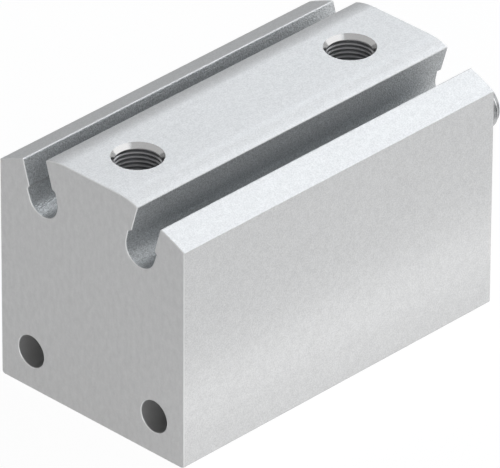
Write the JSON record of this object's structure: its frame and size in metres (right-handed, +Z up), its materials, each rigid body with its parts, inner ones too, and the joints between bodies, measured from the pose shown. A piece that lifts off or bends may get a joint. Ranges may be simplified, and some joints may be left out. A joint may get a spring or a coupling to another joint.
{
  "type": "compact pneumatic cylinder",
  "caption": "Compact pneumatic cylinder: square blasted aluminium body with threaded air ports, tilted sensor slots, through holes and a rod with a male thread that slides out.",
  "frame": {"origin": "on the cylinder's axis at the rear face", "axes": "+X along the rod, towards its threaded end; +Z up to the face with the air ports; +Y to the left when looking along +X"},
  "size_m": [0.1047, 0.0474, 0.0517],
  "materials": {
    "housing": "blasted and clear anodised, matte",
    "cap": "turned, satin",
    "bush": "sintered bronze, dull",
    "rod_seal": "matte",
    "wiper": "smooth, satin",
    "o_ring": "smooth",
    "spring_steel": "phosphated, dark",
    "rod": "ground and polished",
    "piston": "turned",
    "nut": "zinc plated",
    "washer": "plain",
    "magnet": "bonded ferrite, dull",
    "bumper": "moulded, matte",
    "piston_seal": "smooth",
    "guide": "acetal, smooth"
  },
  "bodies": {
    "cylinder": {"housing": "housing", "bearing_cap": "cap", "bearing_bush": "bush", "rod_seal": "rod_seal", "seal_washer": "washer", "rod_wiper": "wiper", "cap_o_ring": "o_ring", "retaining_ring": "spring_steel"},
    "piston_seals": {"piston_seal_rear": "piston_seal", "piston_seal_front": "piston_seal", "guide_ring": "guide"},
    "rod": {"piston_rod": "rod", "piston_rear_half": "piston", "piston_front_half": "piston", "piston_nut": "nut", "piston_washer": "washer", "spigot_o_ring": "o_ring", "magnet_ring": "magnet", "rear_bumper": "bumper", "front_bumper": "bumper"}
  },
  "joints": [
    {"name": "rod_slide", "type": "slide", "parent": "cylinder", "child": "piston_seals", "axis": [1, 0, 0], "range_m": [0, 0.04]},
    {"name": "rod_turn", "type": "hinge", "parent": "piston_seals", "child": "rod", "pos_m": [0.05, 0, 0], "axis": [1, 0, 0], "continuous": true}
  ]
}
